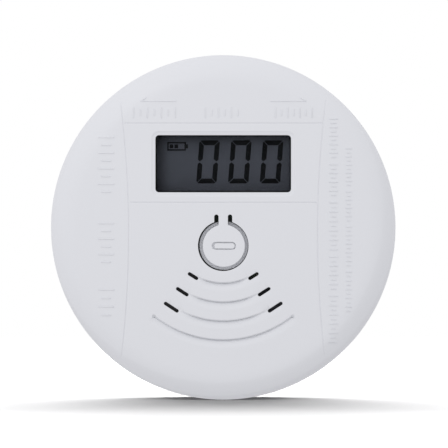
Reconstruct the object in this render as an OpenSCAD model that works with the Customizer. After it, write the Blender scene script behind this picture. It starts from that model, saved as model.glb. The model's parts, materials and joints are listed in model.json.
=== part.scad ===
// Carbon monoxide detector: a round wall alarm with a display, a test button and a twist-off bracket.
// Each module is drawn with x to the right, y up and z out of the wall, all from the bracket's
// rear face. on_wall() then turns that to the part's own frame: +Z up, the front facing -Y.

/* [Body] */
// Diameter of the alarm
body_d = 100; // [100:0.5:104]
// Depth from the wall to the crown of the dome
body_depth = 38; // [38:0.5:42]
// Radius of the shallow dome on the front
dome_r = 350; // [330:10:420]
// Radius of the round shoulder between the dome and the side
shoulder_r = 9; // [8:0.5:10]
// Thickness of the moulded walls
wall = 2; // [1.8:0.1:2.2]
// Height of the seam between the front cover and the rear housing
seam_z = 9; // [8.5:0.5:10]

/* [Display] */
// Width of the display window
window_w = 39.2; // [36:0.2:39.6]
// Height of the display window
window_h = 16.5; // [14:0.25:17]
// Height of the window's centre above the middle of the disc
window_y = 18.6; // [18.2:0.1:19]
// Height of a digit
digit_h = 12.45; // [10:0.05:13]
// Width of a digit
digit_w = 5.9; // [5:0.1:6.5]
// Width of a digit's strokes
stroke_w = 1.38; // [1:0.02:1.6]
// Lean of the digits to the right
digit_lean = 4.5; // [0:0.5:8]

/* [Test button] */
// Diameter of the button's face
button_d = 12.2; // [11:0.1:12.4]
// Diameter of the round hole that the button sits in
button_hole_d = 14.6; // [14.4:0.1:15]
// Height of the button's centre, below the middle of the disc
button_y = -5.1; // [-5.4:0.1:-4.9]
// Width of the neck that the button hangs on
neck_w = 2.7; // [2.4:0.1:3]
// Width of the slots on both sides of the neck
neck_slot_w = 1.25; // [1:0.05:1.4]
// Width of the recessed mark on the button
mark_w = 7; // [5:0.5:8]
// Height of the recessed mark on the button
mark_h = 2.25; // [1.5:0.25:3]

/* [Sound grooves] */
// Radius of the innermost groove
groove_r = 15.7; // [15.6:0.1:16.2]
// Distance from one groove to the next
groove_pitch = 5.49; // [5.4:0.01:5.6]
// Depth of each groove at its steep side
groove_depth = 0.8; // [0.4:0.1:0.9]
// Width of each groove's ramp
groove_ramp = 2.4; // [1.8:0.1:2.6]
// Angle that each groove spans
groove_span = 75; // [70:1:78]
// Width of the sound slots
slot_w = 1; // [0.8:0.1:1.1]

/* [Wall bracket] */
// Diameter of the bracket
bracket_d = 92; // [91:0.5:92]
// Distance between the two wall screws
screw_spacing = 68; // [67:0.5:69]
// Width of the screw slots
screw_slot_w = 4.2; // [3.8:0.1:4.6]
// Length of the screw slots from end to end
screw_slot_l = 8; // [6:0.5:9]
// Turn between locked and released
twist_angle = 15; // [12:1:15]

/* [Batteries] */
// Diameter of a cell
cell_d = 14.3; // [14:0.1:14.5]
// Length of a cell with its nub
cell_l = 50.5; // [49.5:0.1:50.5]
// Distance from one cell to the next
cell_pitch = 15; // [14.9:0.1:15.1]

/* [Hidden] */
$fa = 4;
$fs = 0.4;
eps = 0.01;

// Body
rim_r = body_d / 2;
dome_c = body_depth - dome_r;
shoulder_c = rim_r - shoulder_r;
shoulder_z = dome_c + sqrt(pow(dome_r - shoulder_r, 2) - pow(shoulder_c, 2)) + eps;
dome_edge_r = shoulder_c * dome_r / (dome_r - shoulder_r);
skin = 0.15;
line_w = 0.45;
lip_w = 1.2;
lip_depth = 0.3;

// Rear housing and the parts that fasten the case
back_z = 4.5;
floor_t = 1.8;
floor_z = back_z + floor_t;
boss_r = 40.5;
boss_turns = [0, 120, 240];
boss_top = 15;
case_screw_r = 1.25;
case_pilot_r = 1.28;
screw_head_z = 7.5;

// Battery bay
bay_x = 22.6;
bay_y = 28.5;
bay_wall = 1.4;
bay_top = 21.3;
cell_z = floor_z + 0.3 + cell_d / 2;
contact_y = 28;
contact_t = 0.4;
dimple_h = 0.5;
spring_wire_r = 0.35;
spring_h = 2 * contact_y - dimple_h - cell_l;
cell_xs = [-cell_pitch, 0, cell_pitch];
cell_ups = [1, -1, 1];

// Battery door
door_gap = 0.3;
door_axis_y = 27.3;
door_axis_z = 5.5;
door_barrel_r = 1;
door_pin_r = 0.6;
door_pin_clearance = 0.04;
door_pin_l = 1;

// Bracket and its lugs
bracket_r = bracket_d / 2;
bracket_t = 2;
bracket_h = 4.2;
opening_r = 36.6;
opening_lip = 1.5;
pad_x = 27.5;
pad_h = 28;
lug_turns = [30, 150, 270];
lug_r = 39;
lug_half = 3.5;
lug_play = 0.6;
lug_gap = 0.4;
post_w = 1.8;
hook_w = 3.9;
hook_z = floor_z + 0.3;
hook_h = 1.6;

// Circuit board
board_front = body_depth - 11.4;
board_t = 1.6;
board_back = board_front - board_t;
board_r = 36.5;
board_posts = [[-31, 2], [31, 2], [2, -33.5]];
board_screw_r = 0.85;
board_pilot_r = 0.88;

// Display stack, from the frame's top down
frame_top = body_depth - 4.2;
polariser_z = frame_top - 0.4;
front_glass_z = polariser_z - 1.1;
segment_z = front_glass_z - 0.1;
rear_glass_z = segment_z - 1.1;
reflector_z = rear_glass_z - 0.2;
guide_z = reflector_z - 2.6;
glass_w = 41.4;
glass_h = 18.9;
glass_y = window_y - 0.65;
ledge_h = 1.7;
frame_w = 44;
frame_h = 21.2;
digit_xs = [-4.4, 4.8, 14];
digit_y = 19.1;
icon_at = [-13.5, 23.6];

// Test button
button_r = button_d / 2;
button_hole_r = button_hole_d / 2;
skirt_r = 7.05;
skirt_h = 2.9;
ledge_drop = 2;
button_shift = 0.1;
knuckle_r = 0.8;
knuckle_play = 0.03;
hinge_y = 3.1;
hinge_z = body_depth - 0.85;
neck_slot_top = 3.95;
switch_h = 3.5;
plunger_r = 1.7;
plunger_h = 1.5;
button_post_r = 1;
press_gap = 0.1;

// Sensor and buzzer
sensor_at = [14.5, -19];
sensor_r = 7;
gasket_h = 1.2;
buzzer_at = [-13.4, -20.7];
buzzer_r = 11;
buzzer_h = 7;

// Battery wires, from the plug to the end contacts
plug_at = [-30, -8];
wire_r = 0.6;
tab_top = board_back - 0.8;
wire_over = board_back - 1.4;
red_route = [
    [-29, -6.4, 15], [-29, -6.4, 12.6], [-28.5, -4, 10.4], [-27.6, 3, 9.6], [-27, 11, 10.6],
    [-26.6, 17, 14], [-26.4, 20.8, 18.6], [-26, 23.6, 22], [-24.8, 25.6, wire_over], [-21.6, 28.4, wire_over],
    [-17, 30.4, wire_over], [-15, 30, wire_over], [-15, 28.45, wire_over]
];
black_route = [
    [-29, -9.6, 15], [-29, -9.6, 12.6], [-28.5, -12, 10.4], [-27.4, -16, 11.4], [-26.6, -20, 16.6],
    [-26, -23, 21.8], [-24.8, -25.2, wire_over], [-21, -27.6, wire_over], [-14, -30.2, wire_over],
    [-4, -30.4, wire_over], [8, -30.6, wire_over], [13, -30.4, wire_over], [15, -29.8, wire_over],
    [15, -28.45, wire_over]
];

// ---- Helpers -------------------------------------------------------------------------------

module on_wall() {
    rotate([90, 0, 0]) children();
}

function unit(v) = v / norm(v);

// Height of the dome's outside at a distance from its axis
function dome_z(r) = dome_c + sqrt(pow(dome_r, 2) - pow(r, 2));

// Half section of the body's outside, moved in by a depth
module body_section(depth, bottom) {
    intersection() {
        union() {
            translate([0, bottom]) square([dome_edge_r, body_depth]);
            translate([0, bottom]) square([rim_r - depth, shoulder_z - bottom]);
            translate([shoulder_c, shoulder_z]) circle(r = shoulder_r - depth, $fn = 96);
        }
        translate([0, dome_c]) circle(r = dome_r - depth, $fn = 720);
        translate([0, bottom]) square([rim_r, body_depth]);
    }
}

module body_solid(depth, bottom) {
    rotate_extrude($fn = 144) body_section(depth, bottom);
}

module dome_ball(depth) {
    translate([0, 0, dome_c]) sphere(r = dome_r - depth, $fn = 360);
}

module at(place, z = 0) {
    translate([place[0], place[1], z]) children();
}

module ring_of(turns, r) {
    for (turn = turns) rotate([0, 0, turn]) translate([r, 0, 0]) children();
}

module block(x, y, z, centre = [0, 0]) {
    translate([centre[0] - x / 2, centre[1] - y / 2, z[0]]) cube([x, y, z[1] - z[0]]);
}

// A box with its four upright edges rounded
module round_block(x, y, z, r, centre = [0, 0]) {
    translate([centre[0], centre[1], z[0]]) linear_extrude(z[1] - z[0]) round_rect(x, y, r);
}

module round_rect(x, y, r) {
    square([x - 2 * r, y], center = true);
    square([x, y - 2 * r], center = true);
    for (sx = [-1, 1], sy = [-1, 1]) {
        translate([sx * (x / 2 - r), sy * (y / 2 - r)]) circle(r = r, $fn = 48);
    }
}

// A slot or pill outline with round ends, lying along x
module pill(length, width) {
    square([length - width, width], center = true);
    for (s = [-1, 1]) translate([s * (length - width) / 2, 0]) circle(d = width, $fn = 48);
}

// A piece of a ring between two radii, two heights and two angles
module ring_piece(r0, r1, z0, z1, a0, a1) {
    rotate_extrude(angle = a1 - a0, start = a0, $fn = 144) {
        translate([r0, z0]) square([r1 - r0, z1 - z0]);
    }
}

// Points of a route rounded off between its corners by a Catmull-Rom curve
function rounded(p, n) = concat(
    [for (i = [0 : len(p) - 2], j = [0 : n - 1])
        let (a = p[max(i - 1, 0)], b = p[i], c = p[i + 1], d = p[min(i + 2, len(p) - 1)], t = j / n)
        0.5 * (2 * b + (c - a) * t + (2 * a - 5 * b + 4 * c - d) * pow(t, 2)
            + (3 * b - a - 3 * c + d) * pow(t, 3))],
    [p[len(p) - 1]]
);

// Direction of a route at one of its points
function heading(p, i) = unit(p[min(i + 1, len(p) - 1)] - p[max(i - 1, 0)]);

function tube_ring(p, i, r, sides, aside) =
    let (t = heading(p, i), u = unit(cross(aside, t)), v = cross(t, u))
    [for (k = [0 : sides - 1]) p[i] + r * (cos(360 * k / sides) * u + sin(360 * k / sides) * v)];

// Round wire along a list of points. aside is a direction that the wire never runs in.
module tube(p, r, sides, aside) {
    n = len(p);
    pts = [for (i = [0 : n - 1]) each tube_ring(p, i, r, sides, aside)];
    walls = [for (i = [0 : n - 2], k = [0 : sides - 1])
        let (a = i * sides + k, b = i * sides + (k + 1) % sides)
        each [[a, a + sides, b], [b, a + sides, b + sides]]];
    ends = [
        [for (k = [0 : sides - 1]) k],
        [for (k = [sides - 1 : -1 : 0]) (n - 1) * sides + k]
    ];
    polyhedron(points = pts, faces = concat(walls, ends));
}

// Pan-head screw standing along +z from under its head, with a cross recess
module screw(head_r, head_h, shank_r, length) {
    difference() {
        translate([0, 0, -head_h]) cylinder(r = head_r, h = head_h);
        for (turn = [0, 90]) {
            rotate([0, 0, turn]) block(head_r * 1.1, head_r * 0.26, [-head_h - 1, -head_h * 0.45]);
        }
    }
    cylinder(r = shank_r, h = length - shank_r);
    translate([0, 0, length - shank_r]) cylinder(r1 = shank_r, r2 = shank_r * 0.3, h = shank_r);
}

// ---- Wall bracket --------------------------------------------------------------------------

module lug(turn) {
    ring_piece(lug_r, lug_r + post_w, bracket_t - eps, hook_z + eps, turn - lug_half, turn + lug_half);
    ring_piece(lug_r, lug_r + hook_w, hook_z, hook_z + hook_h, turn - lug_half, turn + lug_half);
}

// Outline of the bracket's opening: round, so that the open battery door can turn in it, with a
// pad left on each side for a wall screw
module bracket_opening(grow) {
    difference() {
        circle(r = opening_r + grow, $fn = 144);
        for (s = [-1, 1]) translate([s * (pad_x + grow + 20), 0]) round_rect(40, pad_h - 2 * grow, 3);
    }
}

module mounting_bracket() {
    color("whitesmoke") on_wall() {
        difference() {
            union() {
                cylinder(r = bracket_r, h = bracket_t, $fn = 144);
                ring_piece(bracket_r - 1.8, bracket_r, bracket_t - eps, bracket_h, 0, 360);
                translate([0, 0, 1]) linear_extrude(bracket_t + 0.2) bracket_opening(opening_lip);
            }
            translate([0, 0, -1]) linear_extrude(bracket_h + 2) bracket_opening(0);
            for (s = [-1, 1]) at([s * screw_spacing / 2, 0], -1) {
                linear_extrude(bracket_h + 1) pill(screw_slot_l, screw_slot_w);
            }
        }
        for (turn = lug_turns) lug(turn);
    }
}

// ---- Rear housing --------------------------------------------------------------------------

module lug_slot(turn) {
    sweep_end = turn + twist_angle + lug_half + lug_play;
    ring_piece(lug_r - lug_gap, lug_r + post_w + lug_gap, back_z - 1, floor_z + 1,
        turn - lug_half - lug_play, sweep_end);
    ring_piece(lug_r - lug_gap, lug_r + hook_w + lug_gap, back_z - 1, floor_z + 1,
        turn + twist_angle - lug_half - lug_play, sweep_end);
}

module housing_section() {
    edge_r = 1.2;
    difference() {
        union() {
            translate([0, back_z]) square([rim_r - edge_r, seam_z - back_z]);
            translate([0, back_z + edge_r]) square([rim_r, seam_z - back_z - edge_r]);
            translate([rim_r - edge_r, back_z + edge_r]) circle(r = edge_r, $fn = 48);
        }
        translate([0, floor_z]) square([rim_r - wall, seam_z]);
    }
    translate([rim_r - wall - 1.7, floor_z - eps]) square([1.6, seam_z + 1.6 - floor_z]);
}

module bay_box(grow, z0, z1) {
    block(2 * (bay_x + grow), 2 * (bay_y + grow), [z0, z1]);
}

// Ridges on the bay's floor that keep the cells apart
module cell_ridges() {
    for (s = [-1, 1]) translate([s * cell_pitch / 2, bay_y - 4, bay_top]) rotate([90, 0, 0]) {
        linear_extrude(2 * bay_y - 8) polygon([[-1.6, eps], [1.6, eps], [0.4, -2], [-0.4, -2]]);
    }
}

module rear_housing() {
    color("white") on_wall() {
        difference() {
            union() {
                rotate_extrude($fn = 144) housing_section();
                bay_box(bay_wall, back_z, bay_top + bay_wall);
                ring_of(boss_turns, boss_r) {
                    translate([0, 0, floor_z - eps]) cylinder(r = 4.2, h = 2.4);
                    translate([0, 0, floor_z - eps]) cylinder(r = 3.2, h = boss_top - floor_z);
                }
            }
            bay_box(0, back_z - 1, bay_top);
            for (turn = lug_turns) lug_slot(turn);
            ring_of(boss_turns, boss_r) {
                translate([0, 0, back_z - 1]) cylinder(r = 2.9, h = screw_head_z - back_z + 1);
                cylinder(r = case_screw_r + 0.1, h = boss_top + 1);
            }
            for (s = [-1, 1]) translate([s * bay_x - 1.2, door_axis_y, door_axis_z]) rotate([0, 90, 0]) {
                cylinder(r = door_pin_r + door_pin_clearance, h = 2.4, $fn = 48);
            }
            for (s = [-1, 1]) {
                block(5.6, 0.9, [bay_top - 1, bay_top + 3], [-s * cell_pitch, s * (bay_y - 0.45)]);
            }
            at([0, -bay_y - 1], back_z - 1) cylinder(r = 9, h = 1.8);
        }
        cell_ridges();
    }
}

// ---- Battery door --------------------------------------------------------------------------

module battery_door() {
    door_w = 2 * (bay_x - door_gap);
    door_bottom = -bay_y + door_gap;
    color("white") on_wall() {
        difference() {
            translate([-door_w / 2, door_bottom, back_z]) cube([door_w, door_axis_y - door_bottom, floor_t]);
            for (s = [-1, 1]) block(1, 9, [back_z - 1, floor_z + 1], [s * 6, door_bottom + 4]);
            for (i = [0 : 3]) block(8, 0.6, [back_z - 1, back_z + 0.5], [0, door_bottom + 2.4 + i * 1.4]);
        }
        translate([-door_w / 2, door_axis_y, door_axis_z]) rotate([0, 90, 0]) {
            cylinder(r = door_barrel_r, h = door_w, $fn = 64);
        }
        translate([-bay_x - door_pin_l, door_axis_y, door_axis_z]) rotate([0, 90, 0]) {
            cylinder(r = door_pin_r, h = 2 * (bay_x + door_pin_l), $fn = 48);
        }
    }
}

// ---- Front cover ---------------------------------------------------------------------------

module sound_groove(r) {
    rotate_extrude(angle = groove_span, start = 270 - groove_span / 2, $fn = 180) polygon([
        [r, dome_z(r) - groove_depth],
        [r + groove_ramp, dome_z(r + groove_ramp)],
        [r + groove_ramp, body_depth + 1],
        [r, body_depth + 1]
    ]);
}

// Straight round-ended slot in the floor of a groove, near one of its ends
module sound_slot(i, side) {
    r = groove_r + 0.7 + i * groove_pitch;
    rotate([0, 0, side * (32.2 + i * 0.55)]) translate([0, -r, body_depth - 6]) {
        linear_extrude(8) pill(3.4 + i * 0.77, slot_w);
    }
}

// Layer just under the dome, which a cut of this depth takes away
module dome_layer(depth) {
    difference() {
        translate([0, 0, body_depth - 6]) cylinder(r = 47.6, h = 8);
        dome_ball(depth);
    }
}

module panel_lines() {
    bow_r = 301;
    bow_x = 27.3;
    for (s = [-1, 1]) translate([s * (bow_x + bow_r), -1.5, body_depth - 5]) difference() {
        cylinder(r = bow_r + line_w / 2, h = 8, $fn = 720);
        translate([0, 0, -1]) cylinder(r = bow_r - line_w / 2, h = 10, $fn = 720);
    }
    block(56.8, line_w, [body_depth - 5, body_depth + 1], [0, 30.3]);
    block(54.6, line_w, [body_depth - 5, body_depth + 1], [0, 7.4]);
}

// Raised arrows that show which way the alarm turns on its bracket
module twist_arrows() {
    for (s = [-1, 1]) translate([s * 18.8, 36.8, body_depth - 5]) linear_extrude(6) {
        square([10.4, 0.4], center = true);
        translate([s * 4.2, 0]) polygon([[s * 1.2, 0.2], [s * 1.2, -0.2], [-s * 1.6, 0.2], [-s * 1.2, 1]]);
    }
}

// Outline of the button's round hole with the two slots beside the neck
module button_outline() {
    slot_x = (neck_w + neck_slot_w) / 2;
    translate([0, button_y]) circle(r = button_hole_r, $fn = 96);
    for (s = [-1, 1]) translate([s * slot_x, neck_slot_top / 2]) rotate(90) {
        pill(neck_slot_top, neck_slot_w);
    }
    translate([0, hinge_y / 2]) square([neck_w + neck_slot_w, hinge_y], center = true);
}

// The button's hole, and the round seat where its neck turns
module button_opening() {
    seat_w = neck_w + 2 * knuckle_play;
    translate([0, 0, body_depth - 6]) linear_extrude(8) button_outline();
    translate([-seat_w / 2, hinge_y, hinge_z]) rotate([0, 90, 0]) {
        cylinder(r = knuckle_r + knuckle_play, h = seat_w, $fn = 64);
    }
}

module front_cover() {
    color("white") on_wall() {
        difference() {
            body_solid(0, seam_z);
            body_solid(wall, seam_z - 1);
            round_block(window_w, window_h, [body_depth - 8, body_depth + 1], 1, [0, window_y]);
            intersection() {
                translate([0, window_y, body_depth - 8]) linear_extrude(9) {
                    round_rect(window_w + 2 * lip_w, window_h + 2 * lip_w, 2);
                }
                dome_layer(lip_depth);
            }
            intersection() {
                panel_lines();
                dome_layer(skin);
            }
            for (i = [0 : 3]) sound_groove(groove_r + i * groove_pitch);
            for (i = [0 : 2], side = [-1, 1]) sound_slot(i, side);
            button_opening();
        }
        intersection() {
            twist_arrows();
            dome_ball(-skin);
        }
        intersection() {
            difference() {
                union() {
                    ring_of(boss_turns, boss_r) translate([0, 0, boss_top]) cylinder(r = 3, h = body_depth);
                    for (place = board_posts) at(place, board_front) cylinder(r = 2.2, h = body_depth);
                }
                ring_of(boss_turns, boss_r) cylinder(r = case_pilot_r, h = boss_top + 12);
                for (place = board_posts) at(place) cylinder(r = board_pilot_r, h = board_front + 5);
            }
            body_solid(wall / 2, seam_z);
        }
    }
}

// ---- Test button and its switch ------------------------------------------------------------

module test_button() {
    place = [button_shift, button_y];
    post_z = board_front + switch_h + plunger_h + press_gap;
    neck_l = hinge_y - button_y;
    color("white") on_wall() {
        difference() {
            intersection() {
                union() {
                    at(place, body_depth - skirt_h) {
                        cylinder(r = skirt_r, h = skirt_h - ledge_drop, $fn = 96);
                        cylinder(r = button_r, h = skirt_h, $fn = 96);
                    }
                    block(neck_w, neck_l, [hinge_z - knuckle_r, body_depth], [0, hinge_y - neck_l / 2]);
                }
                dome_ball(0);
            }
            at(place, body_depth - 0.25) linear_extrude(1) pill(mark_w, mark_h);
        }
        translate([-neck_w / 2, hinge_y, hinge_z]) rotate([0, 90, 0]) {
            cylinder(r = knuckle_r, h = neck_w, $fn = 64);
        }
        at([0, button_y], post_z) cylinder(r = button_post_r, h = body_depth - skirt_h / 2 - post_z);
    }
}

module switch_body() {
    color("dimgray") on_wall() {
        difference() {
            block(6, 6, [board_front, board_front + switch_h], [0, button_y]);
            at([0, button_y], board_front + 0.8) cylinder(r = plunger_r + 0.1, h = switch_h);
        }
    }
}

module switch_plunger() {
    color("black") on_wall() at([0, button_y], board_front + 2) {
        cylinder(r = plunger_r, h = switch_h + plunger_h - 2);
    }
}

// ---- Display -------------------------------------------------------------------------------

module lcd_frame() {
    color("gainsboro") on_wall() difference() {
        block(frame_w, frame_h, [board_front, frame_top], [0, glass_y]);
        block(glass_w + 0.2, glass_h + 0.2, [board_front - 1, frame_top - 0.2], [0, glass_y]);
        block(glass_w - 1, glass_h - 0.7, [board_front, frame_top + 1], [0, glass_y]);
    }
}

// One layer of the display, short of the contact ledge along its lower edge if asked
module layer(z0, z1, ledge = 0) {
    block(glass_w, glass_h - ledge, [z0, z1], [0, glass_y + ledge / 2]);
}

module lcd_polariser() {
    color("darkslategray") on_wall() layer(polariser_z, frame_top - 0.2);
}

module lcd_front_glass() {
    color("lightsteelblue", 0.5) on_wall() layer(front_glass_z, polariser_z);
}

module lcd_rear_glass() {
    color("lightsteelblue", 0.5) on_wall() layer(rear_glass_z, segment_z, ledge_h);
}

module lcd_reflector() {
    color("gray") on_wall() layer(reflector_z, rear_glass_z, ledge_h);
}

module light_guide() {
    color("aliceblue", 0.6) on_wall() layer(guide_z, reflector_z, ledge_h);
}

module zebra_strip() {
    color("pink") on_wall() {
        block(36, 1.2, [board_front, front_glass_z], [0, glass_y - glass_h / 2 + 0.8]);
    }
}

function lean(p) = [p[0] + tan(digit_lean) * p[1], p[1]];

// The figure nought: six bars, without the middle one. The top and bottom bars meet the upright
// ones in mitres, and the upright ones come to a point at the middle.
module nought() {
    x = digit_w / 2;
    y = digit_h / 2;
    corner = 0.5;
    gap = 0.14;
    inner_x = x - stroke_w;
    inner_y = y - stroke_w;
    for (s = [-1, 1]) {
        polygon([for (p = [
            [-x + corner + gap, s * y], [x - corner - gap, s * y],
            [x - corner / 2 - gap, s * (y - corner / 2)], [inner_x - gap, s * inner_y],
            [-inner_x + gap, s * inner_y], [-x + corner / 2 + gap, s * (y - corner / 2)]
        ]) lean(p)]);
        for (t = [-1, 1]) polygon([for (p = [
            [t * x, s * (y - corner - gap)], [t * x, s * (gap + 0.5)], [t * (x - stroke_w * 0.4), s * gap],
            [t * inner_x, s * (gap + 0.7)], [t * inner_x, s * (inner_y - gap)],
            [t * (x - corner / 2), s * (y - corner / 2 - gap)]
        ]) lean(p)]);
    }
}

// Small battery sign: an outline with a nub and two bars
module battery_sign() {
    difference() {
        square([5.4, 2.5], center = true);
        square([4.6, 1.7], center = true);
    }
    translate([3, 0]) square([0.5, 1.2], center = true);
    for (i = [0, 1]) translate([-1.5 + i * 1.4, 0]) square([1, 1.1], center = true);
}

module lcd_segments() {
    color("black") on_wall() translate([0, 0, segment_z]) linear_extrude(front_glass_z - segment_z) {
        for (x = digit_xs) translate([x, digit_y]) nought();
        translate(icon_at) battery_sign();
    }
}

// ---- Circuit board and what stands on it ---------------------------------------------------

module circuit_board() {
    color("darkgreen") on_wall() difference() {
        translate([0, 0, board_back]) cylinder(r = board_r, h = board_t, $fn = 144);
        for (place = board_posts) at(place) cylinder(r = 1.1, h = body_depth);
    }
}

module sensor_base() {
    color("ivory") on_wall() at(sensor_at, board_front) cylinder(r = sensor_r + 0.3, h = 1.6);
}

module sensor_can() {
    color("silver") on_wall() at(sensor_at, board_front + 1.6) difference() {
        cylinder(r = sensor_r, h = 5.2);
        translate([0, 0, 4.4]) cylinder(r = 1.4, h = 2);
    }
}

module sensor_gasket() {
    color("dimgray") on_wall() at(sensor_at, board_front + 6.8) difference() {
        cylinder(r = sensor_r, h = gasket_h);
        translate([0, 0, -1]) cylinder(r = 1.6, h = 6);
    }
}

module buzzer_housing() {
    color([0.12, 0.12, 0.13]) on_wall() at(buzzer_at, board_front) rotate_extrude() polygon([
        [9.9, 0], [buzzer_r, 0], [buzzer_r, buzzer_h], [1.5, buzzer_h],
        [1.5, buzzer_h - 1], [9.2, buzzer_h - 1], [9.2, 3.4], [9.9, 3.4]
    ]);
}

module piezo_disc() {
    color("goldenrod") on_wall() at(buzzer_at, board_front + 3.15) cylinder(r = 9.8, h = 0.25);
}

module piezo_ceramic() {
    color("lightgray") on_wall() at(buzzer_at, board_front + 2.95) cylinder(r = 7, h = 0.2);
}

module buzzer_coil() {
    color([0.2, 0.2, 0.22]) on_wall() at([26, -9], board_front) {
        cylinder(r = 4, h = 1.2);
        cylinder(r = 2.8, h = 7);
        translate([0, 0, 5.8]) cylinder(r = 4, h = 1.2);
    }
}

module electrolytic_capacitors() {
    color([0.15, 0.2, 0.45]) on_wall() for (x = [-26, -19.8]) at([x, -5.4], board_front) {
        cylinder(r = 2.5, h = 6.6);
    }
}

module microcontroller() {
    color([0.1, 0.1, 0.1]) on_wall() {
        block(7, 7, [board_front + 0.1, board_front + 1.5], [17, -3.4]);
        for (turn = [0 : 90 : 270], i = [-3 : 3]) at([17, -3.4]) rotate([0, 0, turn]) {
            block(1, 0.35, [board_front, board_front + 0.6], [3.9, i * 0.8]);
        }
    }
}

module crystal() {
    color("silver") on_wall() {
        round_block(8, 3.2, [board_front, board_front + 3], 1.5, [9, 4.6]);
    }
}

module driver_transistors() {
    color([0.1, 0.1, 0.1]) on_wall() for (x = [-7, -12]) {
        block(2.9, 1.5, [board_front + 0.1, board_front + 1.1], [x, 1.6]);
        for (lead = [[-0.95, -1], [0.95, -1], [0, 1]]) {
            block(0.4, 0.9, [board_front, board_front + 0.4], [x + lead[0], 1.6 + lead[1]]);
        }
    }
}

module chip_components() {
    color("tan") on_wall() {
        for (i = [0 : 4]) block(2, 1.2, [board_front, board_front + 0.55], [-26 + 3.6 * i, 5.8]);
        for (i = [0 : 3]) block(1.2, 2, [board_front, board_front + 0.55], [22.5 + 2.4 * i, 5.4]);
        for (i = [0 : 2]) block(2, 1.2, [board_front, board_front + 0.55], [13 + 3.4 * i, -29.4]);
    }
}

module alarm_led() {
    color("crimson", 0.8) on_wall() at([0, -13.8], board_front) {
        cylinder(r = 1.9, h = 1);
        cylinder(r = 1.5, h = 3.8);
        translate([0, 0, 3.8]) sphere(r = 1.5 - eps, $fn = 48);
    }
}

// ---- Battery wiring ------------------------------------------------------------------------

module battery_header() {
    color("ivory") on_wall() difference() {
        block(6, 7.5, [board_back - 5.5, board_back], plug_at);
        block(5.2, 6.7, [board_back - 6.5, board_back - 1], plug_at);
    }
}

module battery_plug() {
    color("snow") on_wall() block(5, 6.5, [15, board_back - 1], plug_at);
}

module red_wire() {
    color("red") on_wall() tube(rounded(red_route, 4), wire_r, 8, [1, 0.2, 0.1]);
}

module black_wire() {
    color("black") on_wall() tube(rounded(black_route, 4), wire_r, 8, [0.3, 0.1, 1]);
}

// ---- Cells and their contacts --------------------------------------------------------------

// A cell lying along y, with its nub up or down
module cell(x, up) {
    r = cell_d / 2;
    nub_h = 1.2;
    body_l = cell_l - nub_h;
    nub_tip = contact_y - dimple_h;
    on_wall() translate([x, up * (nub_tip - cell_l), cell_z]) rotate([-90 * up, 0, 0]) {
        rotate_extrude($fn = 96) polygon([
            [0, 0.3], [4.6, 0.3], [4.9, 0], [r - 0.6, 0], [r, 0.6], [r, body_l - 0.9],
            [r - 0.7, body_l - 0.2], [r - 1.5, body_l], [2.75, body_l], [2.75, cell_l - 0.3],
            [2.45, cell_l], [0, cell_l]
        ]);
    }
}

module battery_cell_1() {
    color("slategray") cell(cell_xs[0], cell_ups[0]);
}

module battery_cell_2() {
    color("slategray") cell(cell_xs[1], cell_ups[1]);
}

module battery_cell_3() {
    color("slategray") cell(cell_xs[2], cell_ups[2]);
}

// Conical coil spring that stands on a contact plate and presses on a cell's flat end
function spring_points(x, end) = let (turns = 4, steps = 20, base_r = 4.2, top_r = 2.9)
    [for (i = [0 : turns * steps])
        let (t = i / (turns * steps), a = 360 * i / steps, r = base_r + (top_r - base_r) * t,
            along = spring_wire_r + 0.03 + (spring_h - 2 * spring_wire_r - 0.06) * t)
        [x + r * cos(a), end * (contact_y - along), cell_z + r * sin(a)]];

module contact_springs() {
    color("silver") on_wall() for (i = [0 : 2]) {
        tube(spring_points(cell_xs[i], -cell_ups[i]), spring_wire_r, 8, [0, 1, 0]);
    }
}

// Contact plate at one end of the bay, from x0 to x1
module plate(x0, x1, end, z1) {
    y = end * (contact_y + contact_t / 2);
    block(x1 - x0, contact_t, [8, z1], [(x0 + x1) / 2, y]);
}

// Raised round of a plate where a cell's nub presses
module dimple(x, end) {
    translate([x, end * (contact_y + 0.1), cell_z]) rotate([end * 90, 0, 0]) {
        cylinder(r = 2.3, h = dimple_h + 0.1);
    }
}

module positive_contact() {
    color("silver") on_wall() {
        plate(-cell_pitch - 4.5, -cell_pitch + 4.5, 1, bay_top - 0.4);
        plate(-cell_pitch - 2.4, -cell_pitch + 2.4, 1, tab_top);
        dimple(-cell_pitch, 1);
    }
}

module negative_contact() {
    color("silver") on_wall() {
        plate(cell_pitch - 4.9, cell_pitch + 4.9, -1, bay_top - 0.4);
        plate(cell_pitch - 2.4, cell_pitch + 2.4, -1, tab_top);
    }
}

module upper_link_contact() {
    color("silver") on_wall() {
        plate(-4.9, cell_pitch + 4.5, 1, bay_top - 0.4);
        dimple(cell_pitch, 1);
    }
}

module lower_link_contact() {
    color("silver") on_wall() {
        plate(-cell_pitch - 4.9, 4.5, -1, bay_top - 0.4);
        dimple(0, -1);
    }
}

// ---- Screws --------------------------------------------------------------------------------

module case_screws() {
    color("dimgray") on_wall() ring_of(boss_turns, boss_r) {
        translate([0, 0, screw_head_z]) screw(2.6, 1.8, case_screw_r, 14);
    }
}

module board_screws() {
    color("dimgray") on_wall() for (place = board_posts) {
        at(place, board_back) screw(2, 1.3, board_screw_r, 6);
    }
}

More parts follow.
